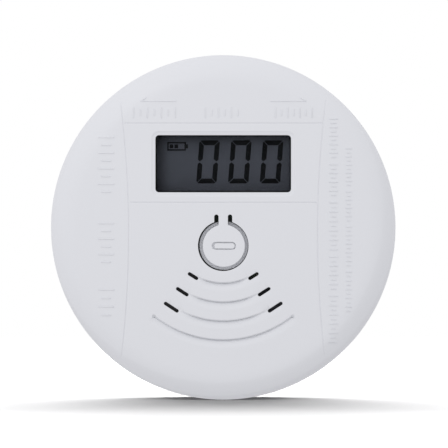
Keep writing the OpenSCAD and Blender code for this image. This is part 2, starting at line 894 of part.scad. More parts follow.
mounting_bracket();
rear_housing();
battery_door();
front_cover();
test_button();
lcd_frame();
lcd_polariser();
lcd_front_glass();
lcd_segments();
lcd_rear_glass();
lcd_reflector();
light_guide();
zebra_strip();
circuit_board();
switch_body();
switch_plunger();
sensor_base();
sensor_can();
sensor_gasket();
buzzer_housing();
piezo_disc();
piezo_ceramic();
buzzer_coil();
electrolytic_capacitors();
microcontroller();
crystal();
driver_transistors();
chip_components();
alarm_led();
battery_header();
battery_plug();
red_wire();
black_wire();
battery_cell_1();
battery_cell_2();
battery_cell_3();
contact_springs();
positive_contact();
negative_contact();
upper_link_contact();
lower_link_contact();
case_screws();
board_screws();
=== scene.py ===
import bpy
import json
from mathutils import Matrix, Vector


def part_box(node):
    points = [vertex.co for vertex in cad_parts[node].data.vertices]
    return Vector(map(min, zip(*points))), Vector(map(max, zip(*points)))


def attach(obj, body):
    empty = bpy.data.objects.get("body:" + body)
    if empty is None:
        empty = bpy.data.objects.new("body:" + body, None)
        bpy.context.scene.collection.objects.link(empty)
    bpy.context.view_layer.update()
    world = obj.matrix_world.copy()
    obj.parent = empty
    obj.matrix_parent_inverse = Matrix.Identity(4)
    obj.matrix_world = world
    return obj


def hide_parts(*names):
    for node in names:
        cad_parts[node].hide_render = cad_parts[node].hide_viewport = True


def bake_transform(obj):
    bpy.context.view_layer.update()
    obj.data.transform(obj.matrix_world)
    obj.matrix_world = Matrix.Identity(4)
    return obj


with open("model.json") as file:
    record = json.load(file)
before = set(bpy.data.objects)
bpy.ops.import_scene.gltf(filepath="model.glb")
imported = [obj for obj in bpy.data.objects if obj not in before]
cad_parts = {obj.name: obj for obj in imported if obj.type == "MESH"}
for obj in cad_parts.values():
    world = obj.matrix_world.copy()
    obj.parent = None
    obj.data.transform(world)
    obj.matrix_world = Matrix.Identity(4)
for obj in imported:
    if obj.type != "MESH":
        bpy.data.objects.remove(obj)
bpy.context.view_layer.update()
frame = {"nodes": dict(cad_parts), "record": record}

import json
import math

import bmesh
import bpy
import numpy as np
from mathutils import Vector
from mathutils.geometry import delaunay_2d_cdt

bl_info = {
    "name": "Carbon monoxide alarm looks",
    "version": (1, 0, 0),
    "blender": (4, 5, 0),
    "location": "3D View > Sidebar > Alarm",
    "description": "Moulded surfaces, finishes, light and camera for a round wall alarm",
    "category": "Object",
}

# Shapes are worked out in millimetres with x to the right, y up and z out of the wall, from the
# bracket's rear face. to_frame() turns them to the part's own frame in metres.

# ---- Sizes, in millimetres -----------------------------------------------------------------

RIM_R = 50.0
BODY_DEPTH = 38.0
DOME_R = 350.0
SHOULDER_R = 9.0
SHOULDER_C = RIM_R - SHOULDER_R
DOME_C = BODY_DEPTH - DOME_R
SHOULDER_Z = DOME_C + math.sqrt((DOME_R - SHOULDER_R) ** 2 - SHOULDER_C**2)
WALL = 2.0
SEAM_Z = 9.0
FACE_R = 48.2
RIM_STEPS = 288

WINDOW = (39.2, 16.5)
WINDOW_AT = (0.0, 18.6)
WINDOW_CORNER = 1.0
LIP_W = 1.2

BUTTON_AT = (0.16, -5.1)
BUTTON_R = 6.1
HOLE_AT = (0.0, -5.1)
HOLE_R = 7.3
SKIRT_FLARE = 0.95
SKIRT_H = 2.9
LEDGE_DROP = 2.5
NECK_X = 1.35
NECK_THICK = 1.65
SLOT_CAP_R = 0.625
SEAM_Y = 3.325
POST_BOTTOM = 31.7

GROOVE_R = 15.7
GROOVE_PITCH = 5.49
GROOVE_W = 2.4
GROOVE_END = 37.5
CREASE_DEPTH = 0.3
SLOT_ANGLES = (32.2, 32.75, 33.3)
SLOT_LENGTHS = (3.4, 4.17, 4.94)
SLOT_OUT = 0.7
SLOT_W = 1.0
LINE_BOW_R = 301.0
LINE_X = 27.3
LINE_BOW_Y = -1.5
LINE_YS = (30.3, 7.4)

CASE_BOSSES = [(40.5, angle) for angle in (0, 120, 240)]
BOARD_POSTS = [(-31.0, 2.0), (31.0, 2.0), (2.0, -33.5)]

# The lip's and the lines' sections
LIP_SOFT = 0.45
LIP_RINGS = (-0.2, 0, 0.15, 0.3, LIP_SOFT)
LINE_HALF_W = 0.24
LINE_GUARD = 0.45
LINE_FADE_R = 47.0
LINE_END_R = 47.9
SHOULDER_RINGS = (39.5, 41.0, 42.2, 43.2, 44.2, 45.1, 45.9, 46.6, 47.2, 47.7)

# A groove's section: where its steep side starts, how wide that is, and where the ramp starts
STEEP_IN = 0.15
STEEP_W = 0.5
RAMP_START = 0.35
CREASE_AT = 0.3
CREASE_HALF_W = 0.25
GROOVE_STEPS = (-0.25, -0.15, -0.05, 0.05, 0.175, 0.3, 0.425, 0.55)
RAMP_STEPS = (1.5, 1.9, GROOVE_W, GROOVE_W + 0.3)
RAMP_ANGLE = 38.6
DIMPLE_ANGLE = 38.2
DIMPLE_R = 0.55
DIMPLE_OUT = 0.3

WINDOW_ROUND = 0.16
HOLE_ROUND = 0.1
INSIDE_R = 45.0
BUTTON_ROUND = 0.14
PILL_MARK = (7.0, 2.25)
CELL_BAND = 0.66
# Width of the black border of painted shade round the display film
PAINTED_SHADE_BORDER = 0.35

FLOOR_Z = -RIM_R / 1000
FLOOR_R = 0.6


# ---- Settings ------------------------------------------------------------------------------


def linear(hex_colour):
    """Linear colour of an sRGB hex value: each channel is c / 12.92 up to 0.04045, and
    ((c + 0.055) / 1.055) to the power 2.4 above it."""
    c = np.array([int(hex_colour[i : i + 2], 16) for i in (1, 3, 5)]) / 255
    return (*np.where(c <= 0.04045, c / 12.92, ((c + 0.055) / 1.055) ** 2.4).tolist(), 1.0)


class AlarmCover(bpy.types.PropertyGroup):
    """Sizes and colour of the moulded front cover."""

    colour: bpy.props.FloatVectorProperty(
        name="Plastic", description="Colour of the white plastic", subtype="COLOR",
        size=4, min=0, max=1, default=linear("#E6E7EA"),
    )
    groove_depth: bpy.props.FloatProperty(
        name="Groove depth", description="Depth of the sound grooves at their steep side",
        default=0.0008, min=0.0002, max=0.0009, precision=5, unit="LENGTH",
    )
    line_depth: bpy.props.FloatProperty(
        name="Line depth", description="Depth of the fine panel lines",
        default=0.0002, min=0.00005, max=0.0003, precision=5, unit="LENGTH",
    )
    lip_depth: bpy.props.FloatProperty(
        name="Lip depth", description="How far the rim round the display lies under the dome",
        default=0.0003, min=0.0001, max=0.0006, precision=5, unit="LENGTH",
    )
    relief: bpy.props.FloatProperty(
        name="Mark relief", description="How far the moulded marks stand out of the dome",
        default=0.0002, min=0.00005, max=0.0003, precision=5, unit="LENGTH",
    )


class AlarmDisplay(bpy.types.PropertyGroup):
    """Colours of the liquid crystal display."""

    ground: bpy.props.FloatVectorProperty(
        name="Ground", description="Colour of the display where no segment is on",
        subtype="COLOR", size=4, min=0, max=1, default=linear("#676B75"),
    )
    segments: bpy.props.FloatVectorProperty(
        name="Segments", description="Colour of the dark segments",
        subtype="COLOR", size=4, min=0, max=1, default=linear("#101316"),
    )


class AlarmStage(bpy.types.PropertyGroup):
    """Camera, light and floor."""

    distance: bpy.props.FloatProperty(
        name="Camera distance", description="Distance from the camera to the rim",
        default=2.5, min=0.3, max=5, unit="LENGTH",
    )
    frame_width: bpy.props.FloatProperty(
        name="Frame width", description="Width that the camera sees at the rim",
        default=0.13005, min=0.1, max=0.5, precision=5, unit="LENGTH",
    )
    elevation: bpy.props.FloatProperty(
        name="Camera height angle", description="Angle of the camera above the horizon",
        default=math.radians(1.05), min=0, max=math.radians(30), unit="ROTATION",
    )
    key: bpy.props.FloatProperty(
        name="Key light", description="Power of the soft light at the upper left",
        default=1.2, min=0, max=100, unit="POWER",
    )
    floor: bpy.props.FloatProperty(
        name="Floor light", description="Power of the soft light on the floor",
        default=104.0, min=0, max=300, unit="POWER",
    )
    surround: bpy.props.FloatProperty(
        name="Surround", description="Brightness of the white room round the alarm",
        default=0.86, min=0, max=2,
    )
    lean: bpy.props.FloatProperty(
        name="Surround lean", description="How much brighter the room is at the upper left",
        default=0.07, min=0, max=1,
    )


# ---- Shapes --------------------------------------------------------------------------------


def to_frame(points):
    """Row-frame metres of local millimetres: X is x, Y is -z and Z is y, each over 1000."""
    p = np.asarray(points, float)
    return np.stack([p[..., 0], -p[..., 2], p[..., 1]], -1) / 1000


def smooth(t):
    """3 t^2 - 2 t^3 with t held between 0 and 1: a soft step."""
    t = np.clip(t, 0, 1)
    return t * t * (3 - 2 * t)


def dome_height(r, depth=0.0):
    """Height of the body's outside at a distance r from its axis, moved in by a depth: the ball
    sqrt(R^2 - r^2) up to where the round shoulder touches it, then the shoulder's own circle."""
    edge = SHOULDER_C * (DOME_R - depth) / (DOME_R - SHOULDER_R)
    ball = DOME_C + np.sqrt((DOME_R - depth) ** 2 - np.minimum(r, edge) ** 2)
    across = np.clip(r - SHOULDER_C, 0, SHOULDER_R - depth)
    shoulder = SHOULDER_Z + np.sqrt((SHOULDER_R - depth) ** 2 - across**2)
    return np.where(r < edge, ball, shoulder)


def arc(centre, r, start, end, n):
    """n points of a circle between two angles in degrees."""
    a = np.radians(np.linspace(start, end, n))
    return np.stack([centre[0] + r * np.cos(a), centre[1] + r * np.sin(a)], -1)


def circle(centre, r, n):
    """n points round a circle, anticlockwise, without repeating the first."""
    return arc(centre, r, 0, 360, n + 1)[:-1]


def straight(a, b, n):
    """n points from a towards b, b itself left out."""
    t = np.arange(n)[:, None] / n
    return np.asarray(a, float) * (1 - t) + np.asarray(b, float) * t


def round_rect(size, centre, r, step=1.5, corner=7):
    """Outline of a rectangle with round corners, anticlockwise from the lower right corner:
    four quarter circles joined by straight runs of points about step apart."""
    x, y = size[0] / 2 - r, size[1] / 2 - r
    ends = [(x, -y, 270), (x, y, 0), (-x, y, 90), (-x, -y, 180)]
    quarters = [arc((cx, cy), r, a, a + 90, corner) for cx, cy, a in ends]
    run = []
    for i, quarter in enumerate(quarters):
        a, b = quarter[-1], quarters[(i + 1) % 4][0]
        n = max(1, int(round(np.linalg.norm(b - a) / step)))
        run += [quarter[:-1], straight(a, b, n)]
    return np.concatenate(run) + centre


def pill(length, width, centre=(0, 0), turn=0.0, cap=9, side=4):
    """Outline of a slot with round ends, anticlockwise, lying along x and then turned."""
    x, r = (length - width) / 2, width / 2
    right, left = arc((x, 0), r, -90, 90, cap), arc((-x, 0), r, 90, 270, cap)
    p = np.concatenate([
        right[:-1], straight(right[-1], left[0], side), left[:-1], straight(left[-1], right[0], side)
    ])
    c, s = math.cos(math.radians(turn)), math.sin(math.radians(turn))
    return p @ np.array([[c, s], [-s, c]]) + centre


def outward(loop):
    """Unit normals of an anticlockwise loop: its direction from the point before to the point
    after, turned a quarter clockwise."""
    t = np.roll(loop, -1, 0) - np.roll(loop, 1, 0)
    n = np.stack([t[:, 1], -t[:, 0]], -1)
    return n / np.linalg.norm(n, axis=1, keepdims=True)


def grown(loop, by):
    """A loop moved outwards along its normals by a distance, or by one for each point."""
    return loop + outward(loop) * np.broadcast_to(by, len(loop))[:, None]


def lifted(loop, z):
    """A flat loop at a height, or at one for each point."""
    return np.column_stack([loop, np.broadcast_to(z, len(loop))])


def box_distance(p, size, centre, r):
    """Distance of points from a rectangle with round corners, below zero inside it."""
    q = np.abs(p - centre) - (np.array(size) / 2 - r)
    out = np.linalg.norm(np.maximum(q, 0), axis=1)
    return out + np.minimum(np.max(q, 1), 0) - r


def skin(rows, closed=True):
    """Quads between rows of points with the same count, one row to the next, and back from the
    last column to the first where the rows are loops."""
    rows = [np.asarray(row, float) for row in rows]
    n, m = len(rows), len(rows[0])
    i, j = np.meshgrid(np.arange(n - 1), np.arange(m if closed else m - 1), indexing="ij")
    k = (j + 1) % m
    quads = np.stack([i * m + j, i * m + k, (i + 1) * m + k, (i + 1) * m + j], -1)
    return np.concatenate(rows), quads.reshape(-1, 4)


def turned(profile, centre=(0, 0), steps=48):
    """A profile of (distance, height) points carried round an axis out of the wall."""
    a = np.radians(np.arange(steps) * 360 / steps)
    rows = [
        np.stack([centre[0] + r * np.cos(a), centre[1] + r * np.sin(a), np.full(steps, z)], -1)
        for r, z in profile
    ]
    return skin(rows)


def inside(p, loops):
    """True where a point is inside an odd number of the loops: a line to the right of it crosses
    their edges an odd number of times."""
    hit = np.zeros(len(p), int)
    for loop in loops:
        a, b = loop, np.roll(loop, -1, 0)
        for part in np.array_split(np.arange(len(p)), max(1, len(p) // 4000)):
            x, y = p[part, 0][:, None], p[part, 1][:, None]
            spans = (a[:, 1] > y) != (b[:, 1] > y)
            rise = np.where(b[:, 1] == a[:, 1], 1, b[:, 1] - a[:, 1])
            cross = a[:, 0] + (y - a[:, 1]) * (b[:, 0] - a[:, 0]) / rise
            hit[part] += np.sum(spans & (x < cross), 1)
    return hit % 2 == 1


def sheet(loops, height, lines=(), spacing=3.0, keep_off=0.45):
    """Triangles that fill the area between flat loops, through the given open lines and through
    a grid of points spacing apart, lifted to height(p). Grid points nearer than keep_off times
    the spacing to a loop or line are left out."""
    loops, lines = list(loops), list(lines)
    edge_points = np.concatenate(loops + lines)
    lo, hi = edge_points.min(0), edge_points.max(0)
    gx, gy = np.meshgrid(
        np.arange(lo[0], hi[0] + spacing, spacing), np.arange(lo[1], hi[1] + spacing, spacing * 0.866)
    )
    gx[1::2] += spacing / 2
    grid = np.stack([gx.ravel(), gy.ravel()], -1)
    grid = grid[inside(grid, loops)]
    far = [
        np.min(np.linalg.norm(part[:, None] - edge_points[None], axis=2), 1) > keep_off * spacing
        for part in np.array_split(grid, max(1, len(grid) // 500)) if len(part)
    ]
    if far:
        grid = grid[np.concatenate(far)]
    edges, start = [], 0
    for path, wraps in [(p, True) for p in loops] + [(p, False) for p in lines]:
        i = start + np.arange(len(path))
        pairs = np.stack([i, np.roll(i, -1)], -1)
        edges += (pairs if wraps else pairs[:-1]).tolist()
        start += len(path)
    flat = np.concatenate([edge_points, grid])
    points, _, faces, *_ = delaunay_2d_cdt([Vector(p) for p in flat], edges, [], 0, 1e-6, False)
    points, faces = np.array([tuple(p) for p in points]), np.array(faces)
    faces = faces[inside(points[faces].mean(1), loops)]
    return np.column_stack([points, height(points)]), faces


def flipped(part):
    """The same surface facing the other way."""
    return part[0], part[1][:, ::-1]


def mesh_object(name, parts, uv=None, sharp=40.0):
    """One object from several surfaces, given as points and faces in local millimetres. Points
    closer than a thousandth of a millimetre become one, all shells face outwards, and edges
    sharper than an angle stay crisp."""
    points, faces, start = [], [], 0
    for p, f in parts:
        points.append(p)
        faces += [[start + v for v in face] for face in (f.tolist() if hasattr(f, "tolist") else f)]
        start += len(p)
    mesh = bpy.data.meshes.new(name)
    mesh.from_pydata(to_frame(np.concatenate(points)).tolist(), [], faces)
    if uv is not None:
        layer = mesh.uv_layers.new(name="UVMap")
        corner = np.zeros(len(mesh.loops), np.int32)
        mesh.loops.foreach_get("vertex_index", corner)
        layer.data.foreach_set("uv", np.asarray(uv, np.float32)[corner].ravel())
    bm = bmesh.new()
    bm.from_mesh(mesh)
    bmesh.ops.remove_doubles(bm, verts=bm.verts, dist=1e-6)
    bmesh.ops.dissolve_degenerate(bm, edges=bm.edges, dist=1e-7)
    bmesh.ops.recalc_face_normals(bm, faces=bm.faces)
    bm.to_mesh(mesh)
    bm.free()
    mesh.shade_smooth()
    mesh.set_sharp_from_angle(angle=math.radians(sharp))
    obj = bpy.data.objects.new(name, mesh)
    bpy.context.scene.collection.objects.link(obj)
    return obj


def place(obj, body, slot, material, *nodes):
    """Gives a finished piece its material and its body, and hides the CAD nodes it stands for. The slot is
    not used.
    """
    obj.data.materials.clear()
    obj.data.materials.append(material)
    if body:
        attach(obj, body)
    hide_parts(*nodes)
    return obj


# ---- Finishes ------------------------------------------------------------------------------


def add(tree, kind, inputs=None, **settings):
    """Adds a node with its settings. An input is linked where it is given a socket, and set
    where it is given a value."""
    node = tree.nodes.new(kind)
    for key, value in settings.items():
        setattr(node, key, value)
    for key, value in (inputs or {}).items():
        if isinstance(value, bpy.types.NodeSocket):
            tree.links.new(value, node.inputs[key])
        else:
            node.inputs[key].default_value = value
    return node


def per_metre(mm):
    """Texture scale whose features are about this many millimetres across."""
    return 1000 / mm


def surface(name, light, dark, grain, bump, rough, **shader):
    """A material on Object coordinates. Noise with a grain in millimetres mixes two colours and
    two roughnesses, and finer noise lifts the surface by bump millimetres. Other words are the
    shader's own constants, such as metallic=1."""
    material = bpy.data.materials.new(name)
    material.use_nodes = True
    tree = material.node_tree
    tree.nodes.clear()
    where = add(tree, "ShaderNodeTexCoord").outputs["Object"]
    cloud = add(tree, "ShaderNodeTexNoise", {"Vector": where, "Scale": per_metre(grain), "Detail": 3.0})
    mix = add(tree, "ShaderNodeMix", data_type="RGBA")
    tree.links.new(cloud.outputs["Fac"], mix.inputs["Factor"])
    mix.inputs[6].default_value, mix.inputs[7].default_value = dark, light
    roughness = add(
        tree, "ShaderNodeMapRange",
        {"Value": cloud.outputs["Fac"], "From Min": 0.3, "From Max": 0.7,
         "To Min": rough[0], "To Max": rough[1]},
    )
    fine = add(
        tree, "ShaderNodeTexNoise", {"Vector": where, "Scale": per_metre(grain / 3), "Detail": 2.0}
    )
    lift = add(
        tree, "ShaderNodeBump",
        {"Height": fine.outputs["Fac"], "Distance": bump / 1000, "Strength": 1.0},
    )
    names = {key.replace("_", " ").title().replace("Ior", "IOR"): value for key, value in shader.items()}
    shade = add(
        tree, "ShaderNodeBsdfPrincipled",
        {"Base Color": mix.outputs[2], "Roughness": roughness.outputs["Result"],
         "Normal": lift.outputs["Normal"], **names},
    )
    add(tree, "ShaderNodeOutputMaterial", {"Surface": shade.outputs["BSDF"]})
    return material


def shader_of(tree):
    """The one shader of a finish."""
    return next(node for node in tree.nodes if node.type == "BSDF_PRINCIPLED")


MATERIALS = {}


def make_materials(scene):
    """All finishes, one for each of the record's material slots."""
    white = tuple(scene.alarm_cover.colour)
    shade = tuple(c * 0.985 for c in white[:3]) + (1.0,)
    ground = tuple(scene.alarm_display.ground)
    ink = tuple(scene.alarm_display.segments)
    made = MATERIALS
    made.clear()
    # White ABS, moulded against a spark-eroded tool: an even satin with a very fine grain
    made["white_abs"] = surface(
        "satin_white_abs", white, shade, 0.5, 0.006, (0.42, 0.5), ior=1.53, specular_ior_level=0.35
    )
    # Light grey ABS of the display frame, moulded: plain and a little glossier
    made["frame_abs"] = surface("grey_abs", linear("#C9CBCF"), linear("#C2C4C8"), 0.6, 0.005, (0.4, 0.5))
    # Clear polariser film with an anti-glare face: greys the display, hardly shines
    made["polariser"] = surface(
        "anti_glare_polariser", linear("#0C0E10"), linear("#0A0C0E"), 0.3, 0.001, (0.3, 0.36),
        alpha=0.25, specular_ior_level=0.1,
    )
    # Soda-lime glass, float: clear and flat, with a green-grey body
    made["lcd_glass"] = surface(
        "float_glass", linear("#0D1211"), linear("#0B100F"), 4, 0.0002, (0.03, 0.06),
        alpha=0.06, ior=1.52, specular_ior_level=0.05,
    )
    # Display ground: rear glass with its cell filled, a flat grey with a cold cast
    # The display step later paints shadow into this ground towards its left and upper edges
    made["lcd_ground"] = surface(
        "display_ground_painted_shadow", ground, tuple(c * 0.96 for c in ground[:3]) + (1.0,), 2.5, 0.0005,
        (0.6, 0.7), specular_ior_level=0.1,
    )
    # Segments of darkened liquid crystal: flat near-black
    made["lcd_ink"] = surface(
        "dark_segments", ink, tuple(c * 0.9 for c in ink[:3]) + (1.0,), 0.6, 0.0003, (0.6, 0.7),
        specular_ior_level=0.1,
    )
    # Aluminised reflector film: soft silver
    made["reflector"] = surface(
        "reflector_film", linear("#C9CCCC"), linear("#BFC3C4"), 0.2, 0.002, (0.3, 0.45), metallic=1.0
    )
    # Cast acrylic light guide: clear with a milky edge
    made["acrylic"] = surface(
        "clear_acrylic", linear("#E8EEF0"), linear("#DCE5E8"), 3, 0.0005, (0.05, 0.1), alpha=0.4, ior=1.49
    )
    # Layered silicone connector strip: dull pink rubber
    made["zebra_silicone"] = surface(
        "pink_silicone", linear("#C98F8D"), linear("#B57674"), 0.25, 0.01, (0.6, 0.75)
    )
    # Glass-fibre board under green solder mask: deep green gloss with the weave just showing
    made["board_laminate"] = surface(
        "solder_mask_green", linear("#1F5A34"), linear("#174A2A"), 0.8, 0.01, (0.22, 0.35)
    )
    # Glass-filled nylon switch body, moulded: matt black
    made["switch_black"] = surface(
        "black_nylon", linear("#1B1B1D"), linear("#151517"), 0.3, 0.008, (0.45, 0.6)
    )
    # Polypropylene sensor base: warm ivory, waxy
    made["sensor_plastic"] = surface(
        "ivory_polypropylene", linear("#E2DCC8"), linear("#D6CFB8"), 0.8, 0.006, (0.35, 0.5)
    )
    # Nickel-plated steel sensor can, drawn: soft bright metal
    made["sensor_steel"] = surface(
        "drawn_nickel_steel", linear("#C6C5C1"), linear("#B5B3AE"), 0.4, 0.003, (0.18, 0.32), metallic=1.0
    )
    # Closed-cell foam ring: dark, dull and open at the skin
    made["foam"] = surface("black_foam", linear("#33343A"), linear("#212226"), 0.35, 0.06, (0.85, 0.95))
    # Noryl buzzer housing, moulded: black satin
    made["buzzer_plastic"] = surface(
        "black_noryl", linear("#202124"), linear("#18191B"), 0.5, 0.006, (0.35, 0.5)
    )
    # Rolled brass disc under the ceramic: yellow metal with fine rolling haze
    made["piezo_brass"] = surface(
        "rolled_brass", linear("#D0A85C"), linear("#BE9549"), 0.3, 0.002, (0.2, 0.34), metallic=1.0
    )
    # Silvered piezo ceramic, screen printed: pale matt silver
    made["piezo_ceramic"] = surface(
        "silvered_ceramic", linear("#D4D2CC"), linear("#C4C2BC"), 0.2, 0.004, (0.45, 0.6), metallic=0.6
    )
    # Ferrite drum of the coil, sintered: charcoal with a grainy skin
    made["coil_ferrite"] = surface(
        "sintered_ferrite", linear("#3A3A3D"), linear("#2A2A2D"), 0.25, 0.015, (0.5, 0.7)
    )
    # Shrunk PVC sleeve on the capacitors: dark blue gloss
    made["capacitor_sleeve"] = surface(
        "blue_pvc_sleeve", linear("#22315E"), linear("#1B284E"), 1.0, 0.006, (0.18, 0.3)
    )
    # Moulded epoxy of the chips: matt black with a fine sparkle of filler
    made["chip_epoxy"] = surface(
        "moulded_epoxy", linear("#232325"), linear("#18181A"), 0.12, 0.006, (0.5, 0.65)
    )
    # Cold-welded steel can of the crystal, tin bright
    made["crystal_can"] = surface(
        "tinned_can", linear("#C9CACC"), linear("#B9BABD"), 0.5, 0.003, (0.2, 0.35), metallic=1.0
    )
    # Barium titanate chip capacitors, fired: tan ceramic
    made["chip_ceramic"] = surface(
        "fired_tan_ceramic", linear("#B79A74"), linear("#A38660"), 0.2, 0.006, (0.4, 0.55)
    )
    # Tinted epoxy lens of the lamp, cast: clear deep red
    made["led_lens"] = surface(
        "red_epoxy_lens", linear("#B3202A"), linear("#9B1922"), 1.2, 0.001, (0.06, 0.12), alpha=0.85
    )
    # Nylon connector, moulded: milky off-white
    made["connector_nylon"] = surface(
        "natural_nylon", linear("#E9E4D4"), linear("#DDD7C5"), 0.6, 0.005, (0.35, 0.5)
    )
    # Extruded PVC insulation: red, soft gloss
    made["red_pvc"] = surface("red_pvc", linear("#A81E22"), linear("#96191D"), 0.8, 0.004, (0.3, 0.42))
    # Extruded PVC insulation: black, soft gloss
    made["black_pvc"] = surface("black_pvc", linear("#18181A"), linear("#121214"), 0.8, 0.004, (0.3, 0.42))
    # Printed film round the cells: plain grey green with a soft gloss
    made["cell_jacket"] = surface(
        "green_cell_film", linear("#47625C"), linear("#425B56"), 0.6, 0.002, (0.28, 0.34)
    )
    # Nickel-plated spring steel of the contacts: bright, lightly rubbed
    made["nickel_steel"] = surface(
        "nickel_spring_steel", linear("#CFCBC2"), linear("#BDB8AE"), 0.4, 0.004, (0.2, 0.38), metallic=1.0
    )
    # Zinc-plated steel screws: cool grey with a faint blue haze
    made["screw_steel"] = surface(
        "zinc_plated_steel", linear("#B4B9BD"), linear("#9CA2A8"), 0.35, 0.006, (0.28, 0.45), metallic=1.0
    )


# ---- Front cover ---------------------------------------------------------------------------


def button_opening():
    """Outline of the button's hole with its two slots, anticlockwise, and a weight that is 0
    along the seam with the neck and 1 elsewhere: right slot's side and round end, the seam, left
    slot's round end and side, then the round hole back to the start."""
    x = NECK_X + 2 * SLOT_CAP_R
    y = HOLE_AT[1] + math.sqrt(HOLE_R**2 - x**2)
    turn = math.degrees(math.atan2(y - HOLE_AT[1], x))
    centre = NECK_X + SLOT_CAP_R
    parts = [
        straight((x, y), (x, SEAM_Y), 4),
        arc((centre, SEAM_Y), SLOT_CAP_R, 0, 180, 11)[:-1],
        straight((NECK_X, SEAM_Y), (-NECK_X, SEAM_Y), 4),
        arc((-centre, SEAM_Y), SLOT_CAP_R, 0, 180, 11)[:-1],
        straight((-x, SEAM_Y), (-x, y), 4),
        arc(HOLE_AT, HOLE_R, 180 - turn, 360 + turn, 97)[:-1],
    ]
    loop = np.concatenate(parts)
    on_seam = (np.abs(loop[:, 1] - SEAM_Y) < 1e-6) & (np.abs(loop[:, 0]) < NECK_X + 1e-6)
    return loop, np.where(on_seam, 0.0, 1.0)


def sound_slots():
    """Outlines of the sound slots: straight pills on both sides of the three inner grooves, each
    at its angle from straight down and square to that direction."""
    loops = []
    for i, (middle, length) in enumerate(zip(SLOT_ANGLES, SLOT_LENGTHS)):
        r = GROOVE_R + SLOT_OUT + i * GROOVE_PITCH
        for side in (-1, 1):
            a = math.radians(270 + side * middle)
            loops.append(pill(length, SLOT_W, (r * math.cos(a), r * math.sin(a)), side * middle))
    return loops


def groove_fade(i, angle):
    """Share of the full depth along a groove, by the angle from straight down: the inner three
    sink back before their slots, and the outer one only at its ends."""
    if i == 3:
        return (1 - 0.25 * smooth((angle - 15) / 20)) * (1 - smooth((angle - GROOVE_END) / 1.2))
    return (1 - 0.55 * smooth((angle - 16) / 9)) * (1 - smooth((angle - 34) / 5))


def bow_distance(p):
    """Distance of points from the nearer of the two bowed panel lines, each a circle of radius
    LINE_BOW_R whose near side crosses x = LINE_X."""
    return np.abs(np.hypot(np.abs(p[:, 0]) - LINE_X - LINE_BOW_R, p[:, 1] - LINE_BOW_Y) - LINE_BOW_R)


def bow_x(y):
    """Where a bowed line is at a height: LINE_X plus the circle's sagitta."""
    return LINE_X + LINE_BOW_R - np.sqrt(LINE_BOW_R**2 - (y - LINE_BOW_Y) ** 2)


def face_height(cover):
    """Returns the function of the front's height: the dome and shoulder, less the soft step of
    the lip round the window, the panel lines' triangular sections, and the grooves' sections,
    which drop steeply at the inner side and rise evenly over the ramp."""
    groove_d, line_d, lip_d = (1000 * v for v in (cover.groove_depth, cover.line_depth, cover.lip_depth))

    def height(p):
        r = np.hypot(p[:, 0], p[:, 1])
        z = dome_height(r)
        lip = box_distance(p, np.array(WINDOW) + 2 * LIP_W, WINDOW_AT, WINDOW_CORNER + LIP_W)
        z = z - lip_d * smooth(-lip / LIP_SOFT)
        line = np.maximum(0, 1 - bow_distance(p) / LINE_HALF_W)
        for y in LINE_YS:
            within = np.abs(p[:, 0]) < bow_x(p[:, 1])
            line = np.maximum(line, within * np.maximum(0, 1 - np.abs(p[:, 1] - y) / LINE_HALF_W))
        z = z - line_d * line * (1 - smooth((r - LINE_FADE_R) / (LINE_END_R - LINE_FADE_R)))
        angle = np.degrees(np.arctan2(np.abs(p[:, 0]), -p[:, 1]))
        for i in range(4):
            d = r - GROOVE_R - i * GROOVE_PITCH
            ramp = np.clip((GROOVE_W - d) / (GROOVE_W - RAMP_START), 0, 1)
            section = np.minimum(smooth((d + STEEP_IN) / STEEP_W), ramp)
            crease = CREASE_DEPTH * np.maximum(0, 1 - np.abs(d - CREASE_AT) / CREASE_HALF_W)
            z = z - (groove_d * section + crease) * groove_fade(i, angle)
        return z

    return height


def face_lines():
    """Open lines that the front's triangles follow: both sides, the middle and a guard beside
    each panel line, circles round the shoulder, and arcs along each groove's steps."""
    lines = []
    for offset in (-LINE_GUARD, -LINE_HALF_W, 0, LINE_HALF_W, LINE_GUARD):
        for side in (-1, 1):
            x = LINE_X + offset
            top = math.sqrt(LINE_END_R**2 - (x + 2.2) ** 2)
            y = np.linspace(-top, top, 60)
            lines.append(np.stack([side * (bow_x(y) + offset), y], -1))
        for y in LINE_YS:
            end = bow_x(y) - 0.55
            x = np.linspace(-end, end, 40)
            lines.append(np.stack([x, np.full(40, y + offset)], -1))
    for r in SHOULDER_RINGS:
        ring = circle((0, 0), r, RIM_STEPS)
        lines.append(np.concatenate([ring, ring[:1]]))
    for i in range(4):
        r0 = GROOVE_R + i * GROOVE_PITCH
        short = 36.9 if i == 3 else 25.0
        for d in GROOVE_STEPS:
            lines.append(arc((0, 0), r0 + d, 270 - short, 270 + short, 2 * int(short * 0.75) + 1))
        for d in RAMP_STEPS:
            lines.append(arc((0, 0), r0 + d, 270 - RAMP_ANGLE, 270 + RAMP_ANGLE, 71))
    return lines


def edge_rings(loop, outer, inner, round_r, weight=1.0):
    """Rows of a hole's wall: a small round from the outer surface, grown by its radius, to the
    hole's own size, then straight down to the inner surface."""
    rows = []
    for t in (0.0, 0.3, 0.65, 1.0):
        a = math.radians(90 * t)
        loop_t = grown(loop, round_r * (1 - math.sin(a)) * weight)
        z = outer(loop_t) - round_r * (1 - math.cos(a)) * weight
        rows.append(lifted(loop_t, z))
    rows.append(lifted(loop, inner(loop)))
    return rows


def bars(places, relief):
    """Raised pills on the dome. places are rows of x, y, length, width and turn in degrees. Each
    one's wall starts under the dome, and its top edge is rounded in one step."""
    parts = []
    for x, y, length, width, turn in places:
        loop = pill(length, width, (x, y), turn, cap=6, side=2)
        top = dome_height(np.hypot(*loop.T))
        rows = [
            lifted(loop, top - 0.1),
            lifted(loop, top + relief * 0.55),
            lifted(grown(loop, -width * 0.18), top + relief),
        ]
        points, faces = skin(rows)
        n = len(loop)
        caps = [list(range(n))[::-1], list(range(2 * n, 3 * n))]
        parts.append((points, faces.tolist() + caps))
    return parts


